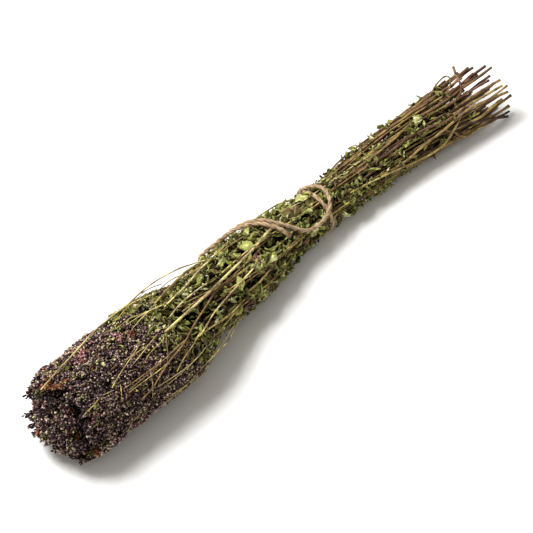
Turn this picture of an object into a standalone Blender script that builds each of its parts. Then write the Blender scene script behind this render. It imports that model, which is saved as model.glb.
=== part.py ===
# Dried oregano bundle lying on its side. The flower heads point to -X, the cut stem ends to +X.
# Twenty-seven sprigs fill three rings of cells, and a jute twine ties them once round.
# Every leaf, stem and floret stays inside its own sprig's cell, so no two sprigs touch.

import random
from math import atan2, cos, pi, radians, sin, tau

import bmesh
import bpy
from mathutils import Vector

# The whole bundle, in metres. Stations are distances from the flower end along the bundle.
LENGTH = 0.400
TIE_STATION = 0.239
TIE_RADIUS = 0.0134
LEAFY_SWELL = 0.0072
HEAD_SWELL = 0.0102
CUT_SWELL = 0.0056
LEAFY_SPAN = 0.070
HEAD_END = 0.150
HEAD_SPAN = 0.055
HEAD_MIDDLE = 0.050
HEIGHT_RATIO = 0.95
UNDERSIDE = 0.86
UNDERSIDE_CORNER = 8

# The bundle's axis bows sideways and drops from the thick heads to the tie
SIDE_BOW = 0.0110
BOW_SHIFT = -0.0009
BOW_START, BOW_SPAN = 0.090, 0.140
BOW_RETURN, RETURN_START, RETURN_SPAN = 0.57, 0.290, 0.110
TIE_AXIS_HEIGHT = 0.01330
DROP_START, DROP_SPAN = 0.080, 0.160

# The three rings of cells, from the middle outwards
RINGS = [
    {"sprigs": 4, "inner": 0.02, "outer": 0.38, "twist": 0.50, "wander": 0.08,
     "tips": (0.001, 0.007), "bases": (0.040, 0.046)},
    {"sprigs": 8, "inner": 0.38, "outer": 0.68, "twist": -0.45, "wander": 0.16,
     "tips": (0.003, 0.012), "bases": (0.044, 0.052)},
    {"sprigs": 15, "inner": 0.68, "outer": 1.0, "twist": 0.40, "wander": 0.30,
     "tips": (0.010, 0.024), "bases": (0.094, 0.126)},
]
CELL_FILL = 0.93
SLOW_PITCH, FAST_PITCH = (18, 30), 55
SLOW_SHARE, FAST_SHARE = 0.65, 0.35
CALM_AT_TIE, CALM_SPAN = 0.35, 0.05

# Stems, four-sided as on the real plant
STEM_HALF_SIDE = {"cut": 0.00125, "head": 0.00075}
STEM_STATIONS = (0.070, 0.095, 0.115, 0.135, 0.155, 0.185, 0.215, 0.239, 0.275, 0.320, 0.355)
CUT_RANGE = (0.368, 0.402)
STEM_THICKNESS = (0.85, 1.12)
STEM_FLOOR = 1.42
STATION_GAP = 0.009
HEAD_GAP = 0.0006

# The ten upper sprigs of the outer ring spread out at their cut ends
FLARED_SPRIGS = 10
FLARE = (0.0, 0.26)
FLARE_START, FLARE_SPAN, FLARE_CURVE = 0.320, 0.09, 1.5

# Leaves
LEAF_LENGTH = (0.0085, 0.0118)
LEAF_HALF_WIDTH = 0.0028
LEAF_HALF_THICKNESS = 0.00036
LEAF_ROOT_LENGTH = 0.0017
LEAF_SECTIONS = ((0.38, 1.0), (0.74, 0.85), (1.0, 0.22))
LEAF_LIFT = (0.0008, 0.0042)
LEAF_CLEARANCE = 0.0004
UNDER_TWINE = (0.146, 0.262)
UNDER_TWINE_LIFT = 0.25
LEAF_HEADROOM = 0.0034
LEAF_GROUND_GAP = 0.0003
LEAF_CURL = (0.55, 0.95)
LEAF_BREADTH = (0.75, 1.1)
LEAF_TURN = {"face": (-0.35, 0.35), "side": (0.05, 0.4)}
INNER_LEAF_WIDTH = 0.7
LEAF_STEP = (0.0128, 0.0155)
FIRST_LEAF_GAP = (0.004, 0.009)
LAST_LEAF_STATION = 0.350
BARE_START, BARE_SPAN, BARE_SHARE = 0.290, 0.060, 0.6
SIDE_LEAF_ROOM = 0.0021
INNER_LEAF_SPANS = ((0.150, 0.165), (0.185, 0.205))
SIDE_CHOICES = ([0], [0], [1], [3], [1, 3], [1, 3])
BARE_BEFORE_TIE = 0.0065
BARE_PAST_TIE = 0.017

# Flower heads
HEAD_SIDES = 6
HEAD_RING_STEP = 0.0075
HEAD_FILL = (0.66, 0.96)
HEAD_SHIFT = 0.0018
HEAD_WAVE, HEAD_WAVE_PITCH = 0.14, (150, 260)
FRONT_OVERHANG = 0.003
FLORET_RISE = 0.40
FLORET_REACH = (0.90, 1.0)
FLORET_FREE = (0.05, 0.30)
FLORET_LEAN = (0.0005, 0.0035)
FLAT_SNAP = 0.0027

# Twine: a tight turn with a knot, then a loose end along the top of the bundle
TWINE_RADIUS = 0.00135
TIE_REACH = 0.99
TIE_SEGMENTS = 34
TWINE_SIDES = 8
KNOT_ANGLE = 38
KNOT_RISE = 0.0019
KNOT_RADIUS = 0.0020
KNOT_SPACING = 0.0011
KNOT_SPOKES = 10
KNOT_TWINE_SHARE = 0.92
LOOSE_POINTS = 58

# Route of the loose end: station in millimetres, angle in degrees, millimetres above the bundle's radius
LOOSE_ROUTE = [
    (241.6, 50, 3.2), (243.8, 63, 3.4), (245.2, 79, 3.5), (245.4, 95, 3.7), (243.8, 111, 4.2),
    (240.6, 126, 4.8), (236.0, 138, 4.7), (229.6, 145.5, 4.0), (222.0, 145, 3.5), (214.8, 136, 3.4),
    (208.4, 116, 3.4), (202.4, 94, 3.4), (198.2, 72, 3.4), (193.8, 52, 3.5), (187.8, 37, 3.6),
    (181.2, 23, 3.6), (175.2, 10, 3.7), (169.6, 2, 3.8), (163.0, -1, 3.8), (157.6, 4, 3.8),
    (155.4, 17, 3.8), (157.6, 30, 3.7), (164.0, 36.5, 3.6), (171.2, 40, 3.6), (178.6, 44, 3.6),
    (185.2, 51, 3.5), (190.4, 62, 3.4), (194.2, 75, 3.4), (197.4, 91, 3.4), (200.2, 106, 3.4),
    (202.4, 121, 3.4),
]

COLOURS = {
    "leafy_stem": (0.135, 0.125, 0.048),
    "flower_head": (0.085, 0.058, 0.062),
    "twine": (0.42, 0.29, 0.17),
}


def smooth_step(value):
    value = min(1.0, max(0.0, value))
    return value * value * (3 - 2 * value)


def bundle_radius(station):
    toward_heads = smooth_step((TIE_STATION - station) / LEAFY_SPAN) * LEAFY_SWELL
    round_heads = smooth_step((HEAD_END - station) / HEAD_SPAN) * HEAD_SWELL
    toward_cuts = smooth_step((station - TIE_STATION) / (LENGTH - TIE_STATION)) * CUT_SWELL
    return TIE_RADIUS + toward_heads + round_heads + toward_cuts


def axis_side(station):
    back = BOW_RETURN * smooth_step((station - RETURN_START) / RETURN_SPAN)
    return BOW_SHIFT + SIDE_BOW * (smooth_step((station - BOW_START) / BOW_SPAN) - back)


def axis_height(station):
    head_height = UNDERSIDE * HEIGHT_RATIO * bundle_radius(HEAD_MIDDLE)
    drop = smooth_step((station - DROP_START) / DROP_SPAN)
    return head_height + (TIE_AXIS_HEIGHT - head_height) * drop


def in_bundle(station, reach, angle):
    """Point at a share of the bundle's radius and an angle from +Y, with a flattened underside."""
    below = max(0.0, -sin(angle)) / UNDERSIDE
    radius = bundle_radius(station) * reach * (1 + below ** UNDERSIDE_CORNER) ** (-1 / UNDERSIDE_CORNER)
    return Vector((
        station - LENGTH / 2,
        axis_side(station) + radius * cos(angle),
        axis_height(station) + radius * sin(angle) * HEIGHT_RATIO,
    ))


def wave(draw, reach):
    """A slow wander along the bundle, never larger than its reach."""
    first, second = draw.uniform(0, tau), draw.uniform(0, tau)
    pitch = draw.uniform(*SLOW_PITCH)
    return lambda station: reach * (SLOW_SHARE * sin(first + pitch * station)
                                    + FAST_SHARE * sin(second + FAST_PITCH * station))


def plan_sprigs():
    """One dictionary for each sprig: its cell, its stations and the wander of its stem."""
    sprigs = []
    for number, ring in enumerate(RINGS):
        for place in range(ring["sprigs"]):
            draw = random.Random(1000 * number + place)
            sprigs.append({
                "name": f"{number + 1}_{place + 1:02d}",
                "outermost": number == len(RINGS) - 1,
                "angle": tau * (place + 0.5) / ring["sprigs"],
                "half_angle": pi / ring["sprigs"] * CELL_FILL,
                "reach": (ring["inner"] + ring["outer"]) / 2,
                "half_reach": (ring["outer"] - ring["inner"]) / 2 * CELL_FILL,
                "twist": ring["twist"],
                "tip": draw.uniform(*ring["tips"]),
                "base": draw.uniform(*ring["bases"]),
                "cut": draw.uniform(*CUT_RANGE),
                "flare": draw.uniform(*FLARE) if number == len(RINGS) - 1 and place < FLARED_SPRIGS else 0.0,
                "thickness": draw.uniform(*STEM_THICKNESS),
                "sideways": wave(draw, ring["wander"]),
                "outwards": wave(draw, ring["wander"]),
                "draw": draw,
            })
    return sprigs


def cell_angle(sprig, station):
    return sprig["angle"] + sprig["twist"] * sin(pi * (station - TIE_STATION) / LENGTH)


def in_cell(sprig, station, across, out):
    """Point in a sprig's cell: across and out run from -1 to 1 between the cell's walls."""
    angle = cell_angle(sprig, station) + across * sprig["half_angle"]
    flare = 1 + sprig["flare"] * smooth_step((station - FLARE_START) / FLARE_SPAN) ** FLARE_CURVE
    return in_bundle(station, max(0.02, sprig["reach"] + out * sprig["half_reach"]) * flare, angle)


def stem_centre(sprig, station):
    loose = CALM_AT_TIE + (1 - CALM_AT_TIE) * smooth_step(abs(station - TIE_STATION) / CALM_SPAN)
    centre = in_cell(sprig, station, sprig["sideways"](station) * loose, sprig["outwards"](station) * loose)
    centre.z = max(centre.z, stem_half_side(sprig, station) * STEM_FLOOR)
    return centre


def stem_frame(sprig, station):
    """Centre of the stem, with the outward and the sideways direction there."""
    centre = stem_centre(sprig, station)
    axis = Vector((centre.x, axis_side(station), axis_height(station)))
    outward = (centre - axis).normalized()
    sideways = Vector((1, 0, 0)).cross(outward)
    return centre, outward, sideways


def stem_half_side(sprig, station):
    share = (station - sprig["base"]) / (sprig["cut"] - sprig["base"])
    size = STEM_HALF_SIDE["head"] + (STEM_HALF_SIDE["cut"] - STEM_HALF_SIDE["head"]) * share
    return size * sprig["thickness"]


def plan_leaves(sprig):
    """Stations of the leaves along a stem, each with the sides of the stem that bear one."""
    draw = sprig["draw"]
    if not sprig["outermost"]:
        return {draw.uniform(*span): [0] for span in INNER_LEAF_SPANS if sin(sprig["angle"]) > -0.3}
    leaves = {}
    underneath = max(0.0, -sin(sprig["angle"]))
    station = sprig["base"] + LEAF_LENGTH[1] + draw.uniform(*FIRST_LEAF_GAP)
    while station < LAST_LEAF_STATION:
        bare = smooth_step((station - BARE_START) / BARE_SPAN) * BARE_SHARE
        at_tie = TIE_STATION - BARE_BEFORE_TIE < station < TIE_STATION + BARE_PAST_TIE
        grounded = stem_centre(sprig, station).z < LEAF_HEADROOM
        if not at_tie and not grounded and draw.random() > bare:
            sides = [side for side in draw.choice(SIDE_CHOICES) if has_room(sprig, station, side)]
            leaves[station] = sides or [0]
        station += draw.uniform(*LEAF_STEP) * (1 + underneath)
    return leaves


def cell_room(sprig, station):
    return bundle_radius(station) * sprig["reach"] * sprig["half_angle"]


def has_room(sprig, station, side):
    """Whether a leaf on a side face of the stem stays clear of the next cell."""
    shift = {0: -1, 1: sprig["sideways"](station), 3: -sprig["sideways"](station)}[side]
    return cell_room(sprig, station) * (1 - shift) - stem_half_side(sprig, station) > SIDE_LEAF_ROOM


def held_in_cell(sprig, station, point, extent):
    """Turn a point about the bundle's axis until it keeps its extent clear of the cell's walls."""
    side = point.y - axis_side(station)
    height = (point.z - axis_height(station)) / HEIGHT_RATIO
    radius = (side ** 2 + height ** 2) ** 0.5
    middle = cell_angle(sprig, station)
    offset = (atan2(height, side) - middle + pi) % tau - pi
    limit = max(0.0, sprig["half_angle"] - extent / radius)
    angle = middle + min(limit, max(-limit, offset))
    return Vector((point.x, axis_side(station) + radius * cos(angle),
                   axis_height(station) + radius * sin(angle) * HEIGHT_RATIO))


def add_leaf(mesh, root, sprig, station, side, normal, across):
    """Grow a leaf from four stem vertices: a blade that runs along the stem and curls off it."""
    draw = sprig["draw"]
    length = draw.uniform(*LEAF_LENGTH)
    half_width = min(LEAF_HALF_WIDTH * draw.uniform(*LEAF_BREADTH), cell_room(sprig, station) - LEAF_GROUND_GAP)
    turn = draw.uniform(*LEAF_TURN["face" if side == 0 else "side"]) * (-1 if side == 3 else 1)
    lift = draw.uniform(*LEAF_LIFT) * (1 - 0.8 * max(0.0, -normal.z))
    if UNDER_TWINE[0] < station < UNDER_TWINE[1] and normal.z > -0.3:
        lift *= UNDER_TWINE_LIFT
    if side != 0:
        lift = 0.0
    if not sprig["outermost"]:
        half_width, turn, lift = half_width * INNER_LEAF_WIDTH, 0.0, 0.0
    curl = draw.uniform(*LEAF_CURL)
    centre = sum((vertex.co for vertex in root), Vector()) / 4
    stem = stem_centre(sprig, station)
    previous = root
    for share, width_share in LEAF_SECTIONS:
        ahead = station - length * share
        width = (across * cos(turn * share) + normal * sin(turn * share)) * half_width * width_share
        thick = (normal * cos(turn * share) - across * sin(turn * share)) * LEAF_HALF_THICKNESS
        clear = abs(width.dot(normal)) + abs(thick.dot(normal)) + LEAF_CLEARANCE
        middle = centre + stem_centre(sprig, ahead) - stem + normal * (clear + lift * sin(pi * share * curl))
        if sprig["outermost"]:
            tangent = Vector((1, 0, 0)).cross(stem_frame(sprig, ahead)[1])
            extent = abs(width.dot(tangent)) + abs(thick.dot(tangent)) + LEAF_CLEARANCE
            middle = held_in_cell(sprig, ahead, middle, extent)
        middle.z = max(middle.z, abs(width.z) + abs(thick.z) + LEAF_GROUND_GAP)
        section = [mesh.verts.new(middle + offset) for offset in
                   (-width - thick, width - thick, width + thick, -width + thick)]
        join_sections(mesh, previous, section)
        previous = section
    mesh.faces.new(previous)


def join_sections(mesh, near, far):
    """Bridge two four-vertex sections with triangles that split alike on both faces of the blade."""
    for start, end, flip in ((0, 1, False), (1, 2, False), (2, 3, True), (3, 0, False)):
        corners = (near[start], near[end], far[end], far[start])
        if flip:
            corners = corners[1:] + corners[:1]
        mesh.faces.new((corners[0], corners[1], corners[2]))
        mesh.faces.new((corners[0], corners[2], corners[3]))


def build_leafy_stem(sprig):
    leaves = plan_leaves(sprig)
    ends = (sprig["base"] + HEAD_GAP, sprig["cut"])
    taken = [*leaves, *ends]
    stations = [*ends, *(station for station in STEM_STATIONS
                         if station > ends[0] and all(abs(station - other) > STATION_GAP for other in taken))]
    for other in leaves:
        stations += [other - LEAF_ROOT_LENGTH / 2, other + LEAF_ROOT_LENGTH / 2]
    stations.sort()
    leaf_ring = {other - LEAF_ROOT_LENGTH / 2: other for other in leaves}

    mesh = bmesh.new()
    rings = []
    for station in stations:
        centre, outward, across = stem_frame(sprig, station)
        half = stem_half_side(sprig, station)
        rings.append([mesh.verts.new(centre + (outward * first + across * second) * half)
                      for first, second in ((1, -1), (1, 1), (-1, 1), (-1, -1))])
    for number, station in enumerate(stations[:-1]):
        near, far = rings[number], rings[number + 1]
        for side in range(4):
            corner = (side + 1) % 4
            quad = (near[side], near[corner], far[corner], far[side])
            leaf_station = leaf_ring.get(station)
            if leaf_station is not None and side in leaves[leaf_station]:
                _, outward, across = stem_frame(sprig, leaf_station)
                normal, width = ((outward, across), (across, -outward), None, (-across, outward))[side]
                add_leaf(mesh, quad, sprig, leaf_station, side, normal, width)
            else:
                mesh.faces.new(quad)
    mesh.faces.new(rings[0])
    mesh.faces.new(rings[-1])
    return make_object(f"leafy_stem_{sprig['name']}", mesh, "leafy_stem")


def build_flower_head(sprig):
    """A narrow core in the sprig's cell with a floret raised from every face of it."""
    draw = sprig["draw"]
    length = sprig["base"] - sprig["tip"]
    steps = max(4, round(length / HEAD_RING_STEP))
    phase, pitch = draw.uniform(0, tau), draw.uniform(*HEAD_WAVE_PITCH)
    mesh = bmesh.new()
    rings = []
    for step in range(steps + 1):
        station = sprig["tip"] + length * step / steps
        taper = min(1.0, 0.55 + 0.9 * step / steps * 4, 0.22 + 3.2 * (1 - step / steps))
        taper *= 1 - HEAD_WAVE + HEAD_WAVE * sin(phase + pitch * station)
        ring = []
        for side in range(HEAD_SIDES):
            angle = tau * (side + 0.5) / HEAD_SIDES
            fill = taper * draw.uniform(*HEAD_FILL)
            shift = draw.uniform(-HEAD_SHIFT, HEAD_SHIFT) if step < steps else 0.0
            ring.append((station + shift, fill * cos(angle), fill * sin(angle)))
        rings.append(ring)

    placed = [[mesh.verts.new(snapped(in_cell(sprig, *spot))) for spot in ring] for ring in rings]
    for step in range(steps):
        for side in range(HEAD_SIDES):
            corner = (side + 1) % HEAD_SIDES
            spots = (rings[step][side], rings[step][corner], rings[step + 1][corner], rings[step + 1][side])
            verts = (placed[step][side], placed[step][corner], placed[step + 1][corner], placed[step + 1][side])
            station, across, out = (sum(spot[part] for spot in spots) / 4 for part in range(3))
            size = max(1e-6, (across ** 2 + out ** 2) ** 0.5)
            free_outward = draw.uniform(*FLORET_FREE) * max(0.0, out / size) if sprig["outermost"] else 0.0
            reach = min(0.99, size + FLORET_RISE) * draw.uniform(*FLORET_REACH) + free_outward
            lean = draw.uniform(*FLORET_LEAN)
            tip = mesh.verts.new(snapped(in_cell(
                sprig, station - lean, across / size * reach, out / size * reach)))
            for index in range(4):
                mesh.faces.new((verts[index], verts[(index + 1) % 4], tip))
    mesh.faces.new(placed[-1])
    front = mesh.verts.new(snapped(in_cell(sprig, sprig["tip"] - FRONT_OVERHANG, 0, 0)))
    for side in range(HEAD_SIDES):
        mesh.faces.new((placed[0][side], placed[0][(side + 1) % HEAD_SIDES], front))
    return make_object(f"flower_head_{sprig['name']}", mesh, "flower_head")


def snapped(point):
    """The heads underneath are pressed flat where they lie on the surface."""
    if point.z < FLAT_SNAP:
        point.z = 0.0
    return point


def on_bundle(station, degrees, lift):
    reach = 1 + lift / 1000 / bundle_radius(station / 1000)
    return in_bundle(station / 1000, reach, radians(degrees))


def smooth_route(points, count):
    """Evenly spaced points on a smooth curve through the route's own points."""
    ends = [2 * points[0] - points[1], *points, 2 * points[-1] - points[-2]]
    fine = []
    for before, start, end, after in zip(ends, ends[1:], ends[2:], ends[3:]):
        for step in range(12):
            share = step / 12
            fine.append(0.5 * (2 * start + (end - before) * share
                               + (2 * before - 5 * start + 4 * end - after) * share ** 2
                               + (3 * start - before - 3 * end + after) * share ** 3))
    fine.append(points[-1])
    travelled = [0.0]
    for start, end in zip(fine, fine[1:]):
        travelled.append(travelled[-1] + (end - start).length)
    even = []
    part = 0
    for number in range(count):
        target = travelled[-1] * number / (count - 1)
        while part < len(fine) - 2 and travelled[part + 1] < target:
            part += 1
        share = (target - travelled[part]) / (travelled[part + 1] - travelled[part])
        even.append(fine[part].lerp(fine[part + 1], share))
    return even


def build_loose_twine():
    route = smooth_route([on_bundle(*spot) for spot in LOOSE_ROUTE], LOOSE_POINTS)
    curve = bpy.data.curves.new("twine_loose_end", "CURVE")
    curve.dimensions = "3D"
    curve.bevel_depth = TWINE_RADIUS
    curve.bevel_resolution = 2
    curve.use_fill_caps = True
    spline = curve.splines.new("POLY")
    spline.points.add(len(route) - 1)
    for point, place in zip(spline.points, route):
        point.co = (*place, 1)
    curve.materials.append(make_material("twine_loose_end", COLOURS["twine"]))
    thing = bpy.data.objects.new("twine_loose_end", curve)
    bpy.context.scene.collection.objects.link(thing)


def add_ring_tube(mesh, centres, normals, radius):
    """Closed tube round a loop of centres, each with its own pair of cross directions."""
    rings = [[mesh.verts.new(centre + radius * (first * cos(tau * side / TWINE_SIDES)
                                                + second * sin(tau * side / TWINE_SIDES)))
              for side in range(TWINE_SIDES)] for centre, (first, second) in zip(centres, normals)]
    for near, far in zip(rings, rings[1:] + rings[:1]):
        for side in range(TWINE_SIDES):
            corner = (side + 1) % TWINE_SIDES
            mesh.faces.new((near[side], near[corner], far[corner], far[side]))


def build_tie():
    """The tight turn round the bundle, with two half hitches fused to it as its knot."""
    along = Vector((1, 0, 0))
    turn = bmesh.new()
    angles = [tau * number / TIE_SEGMENTS for number in range(TIE_SEGMENTS)]
    inside = [in_bundle(TIE_STATION, TIE_REACH, angle) for angle in angles]
    outward = [(ahead - behind).cross(along).normalized()
               for behind, ahead in zip(inside[-1:] + inside[:-1], inside[1:] + inside[:1])]
    centres = [point + direction * TWINE_RADIUS for point, direction in zip(inside, outward)]
    add_ring_tube(turn, centres, [(along, direction) for direction in outward], TWINE_RADIUS)
    tie = make_object("twine_tie", turn, "twine")

    seat = in_bundle(TIE_STATION, TIE_REACH, radians(KNOT_ANGLE))
    axis = Vector((seat.x, axis_side(TIE_STATION), axis_height(TIE_STATION)))
    out = (seat - axis).normalized()
    seat += out * TWINE_RADIUS
    tangent = along.cross(out)
    hitches = []
    for number, shift in enumerate((-KNOT_SPACING, KNOT_SPACING)):
        hitch = bmesh.new()
        middle = seat + out * KNOT_RISE + tangent * shift
        angles = [tau * step / KNOT_SPOKES for step in range(KNOT_SPOKES)]
        spokes = [along * cos(angle) + out * sin(angle) for angle in angles]
        add_ring_tube(hitch, [middle + spoke * KNOT_RADIUS for spoke in spokes],
                      [(spoke, tangent) for spoke in spokes], TWINE_RADIUS * KNOT_TWINE_SHARE)
        hitches.append(make_object(f"hitch_{number}", hitch, "twine"))
    fuse(tie, hitches)


def fuse(body, pieces):
    """Join the pieces to the body in one Boolean union and remove them."""
    group = bpy.data.collections.new("to_fuse")
    bpy.context.scene.collection.children.link(group)
    for piece in pieces:
        bpy.context.scene.collection.objects.unlink(piece)
        group.objects.link(piece)
    union = body.modifiers.new("fuse", "BOOLEAN")
    union.operation = "UNION"
    union.operand_type = "COLLECTION"
    union.collection = group
    fused = bpy.data.meshes.new_from_object(body.evaluated_get(bpy.context.evaluated_depsgraph_get()))
    body.modifiers.clear()
    body.data = fused
    for piece in pieces:
        bpy.data.objects.remove(piece)
    bpy.data.collections.remove(group)


def make_object(name, mesh, colour):
    bmesh.ops.recalc_face_normals(mesh, faces=mesh.faces)
    data = bpy.data.meshes.new(name)
    mesh.to_mesh(data)
    mesh.free()
    data.materials.append(make_material(name, COLOURS[colour]))
    thing = bpy.data.objects.new(name, data)
    bpy.context.scene.collection.objects.link(thing)
    return thing


def make_material(name, colour):
    material = bpy.data.materials.new(name)
    material.use_nodes = True
    shader = material.node_tree.nodes["Principled BSDF"]
    shader.inputs["Base Color"].default_value = (*colour, 1)
    shader.inputs["Roughness"].default_value = 0.85
    shader.inputs["Metallic"].default_value = 0.0
    return material


def main():
    for thing in list(bpy.data.objects):
        bpy.data.objects.remove(thing)
    for sprig in plan_sprigs():
        build_leafy_stem(sprig)
        build_flower_head(sprig)
    build_tie()
    build_loose_twine()


main()
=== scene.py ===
import random
from math import atan2, cos, pi, radians, sin, tau

import bmesh
import bpy
import numpy as np
from mathutils import Euler, Matrix, Vector


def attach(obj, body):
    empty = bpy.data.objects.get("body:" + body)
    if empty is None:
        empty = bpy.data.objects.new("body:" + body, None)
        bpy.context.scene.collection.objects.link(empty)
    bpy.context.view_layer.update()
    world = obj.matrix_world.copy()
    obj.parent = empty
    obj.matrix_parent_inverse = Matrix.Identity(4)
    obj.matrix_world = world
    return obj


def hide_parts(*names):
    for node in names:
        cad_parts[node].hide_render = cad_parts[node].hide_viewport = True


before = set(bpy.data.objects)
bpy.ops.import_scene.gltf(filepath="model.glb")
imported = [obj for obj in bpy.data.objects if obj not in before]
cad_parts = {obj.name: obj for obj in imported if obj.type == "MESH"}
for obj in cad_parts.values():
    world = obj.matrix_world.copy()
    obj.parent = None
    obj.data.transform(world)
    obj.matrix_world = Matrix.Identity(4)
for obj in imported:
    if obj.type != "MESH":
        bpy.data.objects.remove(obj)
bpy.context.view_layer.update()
print("frame loaded")

# The bundle's own shape, as in the part: stations run from the flower end, in metres
bundle = {
    "length": 0.400,
    "tieStation": 0.239,
    "tieRadius": 0.0134,
    "leafySwell": 0.0072,
    "headSwell": 0.0102,
    "cutSwell": 0.0056,
    "heightRatio": 0.95,
    "underside": 0.86,
    "sideBow": 0.0110,
    "bowShift": -0.0009,
    "tieAxisHeight": 0.01330,
    "floorSquareness": 8,
}


def smoothStep(value):
    value = np.clip(value, 0.0, 1.0)
    return value * value * (3 - 2 * value)


def wrapped(angle):  # the same angle, from -pi to pi
    return (angle + pi) % tau - pi


def bundleRadius(station):
    tie = bundle["tieStation"]
    towardHeads = smoothStep((tie - station) / 0.070) * bundle["leafySwell"]
    roundHeads = smoothStep((0.150 - station) / 0.055) * bundle["headSwell"]
    towardCuts = smoothStep((station - tie) / (bundle["length"] - tie)) * bundle["cutSwell"]
    return bundle["tieRadius"] + towardHeads + roundHeads + towardCuts


def axisSide(station):
    bow = smoothStep((station - 0.090) / 0.140) - 0.57 * smoothStep((station - 0.290) / 0.110)
    return bundle["bowShift"] + bundle["sideBow"] * bow


def axisHeight(station):
    headHeight = bundle["underside"] * bundle["heightRatio"] * bundleRadius(0.05)
    return headHeight + (bundle["tieAxisHeight"] - headHeight) * smoothStep((station - 0.080) / 0.160)


def flattened(below):  # the underside is pressed flat, by a power mean of a circle and the floor
    power = bundle["floorSquareness"]
    return (1 + below ** power) ** (-1 / power)


def inBundle(station, reach, angle):  # a share of the bundle's radius, at an angle from +Y
    below = max(0.0, -sin(angle)) / bundle["underside"]
    radius = bundleRadius(station) * reach * flattened(below)
    return Vector((station - bundle["length"] / 2,
                   axisSide(station) + radius * cos(angle),
                   axisHeight(station) + radius * sin(angle) * bundle["heightRatio"]))


def outwardAt(angle):
    return Vector((0.0, cos(angle), sin(angle)))


# The sprigs, as in the part: one cell of the bundle each, in three rings
rings = [
    {"sprigs": 4, "inner": 0.02, "outer": 0.38, "twist": 0.50, "wander": 0.08,
     "tips": (0.001, 0.007), "bases": (0.040, 0.046)},
    {"sprigs": 8, "inner": 0.38, "outer": 0.68, "twist": -0.45, "wander": 0.16,
     "tips": (0.003, 0.012), "bases": (0.044, 0.052)},
    {"sprigs": 15, "inner": 0.68, "outer": 1.0, "twist": 0.40, "wander": 0.30,
     "tips": (0.010, 0.024), "bases": (0.094, 0.126)},
]
stemShape = {"cutHalf": 0.00125, "headHalf": 0.00075, "cutRange": (0.368, 0.402), "cellFill": 0.93,
             "flareStart": 0.320}


def wave(draw, reach):
    first, second = draw.uniform(0, tau), draw.uniform(0, tau)
    pitch = draw.uniform(18, 30)
    return lambda station: reach * (0.65 * sin(first + pitch * station) + 0.35 * sin(second + 55 * station))


def planSprigs():
    sprigs = []
    for number, ring in enumerate(rings):
        for place in range(ring["sprigs"]):
            draw = random.Random(1000 * number + place)
            outermost = number == len(rings) - 1
            sprigs.append({
                "name": f"{number + 1}_{place + 1:02d}",
                "seed": number * 100 + place + 1,
                "ring": number,
                "outermost": outermost,
                "angle": tau * (place + 0.5) / ring["sprigs"],
                "halfAngle": pi / ring["sprigs"] * stemShape["cellFill"],
                "reach": (ring["inner"] + ring["outer"]) / 2,
                "halfReach": (ring["outer"] - ring["inner"]) / 2 * stemShape["cellFill"],
                "twist": ring["twist"],
                "tip": draw.uniform(*ring["tips"]),
                "base": draw.uniform(*ring["bases"]),
                "cut": draw.uniform(*stemShape["cutRange"]),
                "flare": draw.uniform(0.0, 0.26) if outermost and place < 10 else 0.0,
                "thickness": draw.uniform(0.85, 1.12),
                "sideways": wave(draw, ring["wander"]),
                "outwards": wave(draw, ring["wander"]),
            })
    return sprigs


def cellAngle(sprig, station):
    return sprig["angle"] + sprig["twist"] * sin(pi * (station - bundle["tieStation"]) / bundle["length"])


def inCell(sprig, station, across, out):
    angle = cellAngle(sprig, station) + across * sprig["halfAngle"]
    flare = 1 + sprig["flare"] * smoothStep((station - stemShape["flareStart"]) / 0.09) ** 1.5
    return inBundle(station, max(0.02, sprig["reach"] + out * sprig["halfReach"]) * flare, angle)


def stemHalfSide(sprig, station):
    share = (station - sprig["base"]) / (sprig["cut"] - sprig["base"])
    size = stemShape["headHalf"] + (stemShape["cutHalf"] - stemShape["headHalf"]) * share
    return size * sprig["thickness"]


def stemCentre(sprig, station):
    loose = 0.35 + 0.65 * smoothStep(abs(station - bundle["tieStation"]) / 0.05)
    centre = inCell(sprig, station, sprig["sideways"](station) * loose, sprig["outwards"](station) * loose)
    centre.z = max(centre.z, stemHalfSide(sprig, station) * 1.42)
    return centre


# Camera: the photograph looks down on the bundle from the flower end's near side
cameraView = {"azimuth": -46.05, "elevation": 50.0, "distance": 1.566, "lens": 173.8,
              "target": (-0.0188, -0.0034, 0.0207)}


def makeCamera():
    turn, tilt = radians(cameraView["azimuth"]), radians(cameraView["elevation"])
    back = Vector((sin(turn) * cos(tilt), -cos(turn) * cos(tilt), sin(tilt)))
    data = bpy.data.cameras.new("camera")
    data.lens = cameraView["lens"]
    data.sensor_width = 36
    data.clip_start = 0.05
    camera = bpy.data.objects.new("camera", data)
    camera.location = Vector(cameraView["target"]) + back * cameraView["distance"]
    camera.rotation_euler = back.to_track_quat("Z", "Y").to_euler()
    bpy.context.scene.collection.objects.link(camera)
    bpy.context.scene.camera = camera


# Shader nodes written as expressions
class Value:
    def __init__(self, tree, socket):
        self.tree = tree
        self.socket = socket

    def combine(self, operation, other):
        node = self.tree.nodes.new("ShaderNodeMath")
        node.operation = operation
        for index, side in enumerate((self, other)):
            if isinstance(side, Value):
                self.tree.links.new(side.socket, node.inputs[index])
            else:
                node.inputs[index].default_value = side
        return Value(self.tree, node.outputs[0])

    def __add__(self, other):
        return self.combine("ADD", other)

    def __sub__(self, other):
        return self.combine("SUBTRACT", other)

    def __mul__(self, other):
        return self.combine("MULTIPLY", other)


def grey(level):
    return (level, level, level)


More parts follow.
